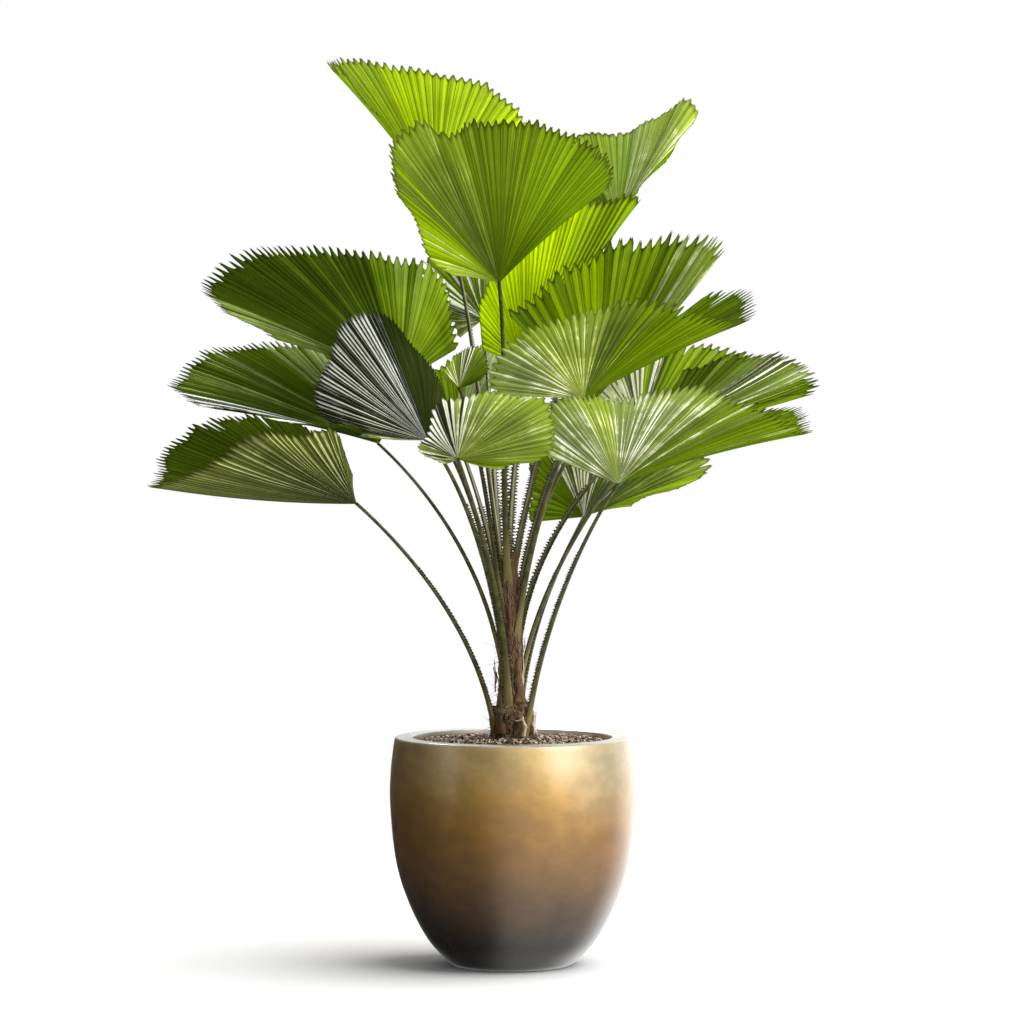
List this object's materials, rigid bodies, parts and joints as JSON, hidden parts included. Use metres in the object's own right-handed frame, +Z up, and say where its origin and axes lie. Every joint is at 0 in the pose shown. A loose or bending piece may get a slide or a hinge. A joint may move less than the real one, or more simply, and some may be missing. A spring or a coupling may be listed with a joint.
{
  "type": "potted ruffled fan palm",
  "caption": "Tall potted fan palm with pleated round fan leaves on slender spined stalks from a short fibrous trunk, in a round-bellied pot that stands on its flat underside.",
  "frame": {"origin": "middle of the pot's flat underside", "axes": "+Z up along the plant, -Y toward the side shown in the picture, +X to that side's right"},
  "size_m": [1.3667, 1.4071, 1.9039],
  "materials": {
    "pot_metal": "satin metallic lacquer that shades from pale gold at the rim to near black at the foot",
    "potting_bark": "loose brown bark and coir chips",
    "fibrous_trunk": "rough brown leaf-base fibre with cut stubs",
    "leaf_stalk": "smooth olive green stalk with small dark spines",
    "leaf_blade": "pleated leaf, satin above and duller below"
  },
  "bodies": {
    "root": {"pot": "pot_metal", "soil": "potting_bark", "trunk": "fibrous_trunk", "old_base_front": "fibrous_trunk", "old_base_left": "fibrous_trunk", "old_base_right": "fibrous_trunk", "old_base_back": "fibrous_trunk", "old_base_back_left": "fibrous_trunk", "stalk_top_front": "leaf_stalk", "blade_top_front": "leaf_blade", "stalk_top_left": "leaf_stalk", "blade_top_left": "leaf_blade", "stalk_top_right": "leaf_stalk", "blade_top_right": "leaf_blade", "stalk_upper_back": "leaf_stalk", "blade_upper_back": "leaf_blade", "stalk_upper_right": "leaf_stalk", "blade_upper_right": "leaf_blade", "stalk_mid_right": "leaf_stalk", "blade_mid_right": "leaf_blade", "stalk_right_back": "leaf_stalk", "blade_right_back": "leaf_blade", "stalk_far_right": "leaf_stalk", "blade_far_right": "leaf_blade", "stalk_low_right_front": "leaf_stalk", "blade_low_right_front": "leaf_blade", "stalk_low_right_back": "leaf_stalk", "blade_low_right_back": "leaf_blade", "stalk_low_front": "leaf_stalk", "blade_low_front": "leaf_blade", "stalk_young": "leaf_stalk", "blade_young": "leaf_blade", "stalk_upper_left": "leaf_stalk", "blade_upper_left": "leaf_blade", "stalk_mid_left": "leaf_stalk", "blade_mid_left": "leaf_blade", "stalk_left_front": "leaf_stalk", "blade_left_front": "leaf_blade", "stalk_low_left": "leaf_stalk", "blade_low_left": "leaf_blade", "stalk_back_low": "leaf_stalk", "blade_back_low": "leaf_blade", "stalk_back_right": "leaf_stalk", "blade_back_right": "leaf_blade", "stalk_back_upper": "leaf_stalk", "blade_back_upper": "leaf_blade"}
  },
  "joints": []
}
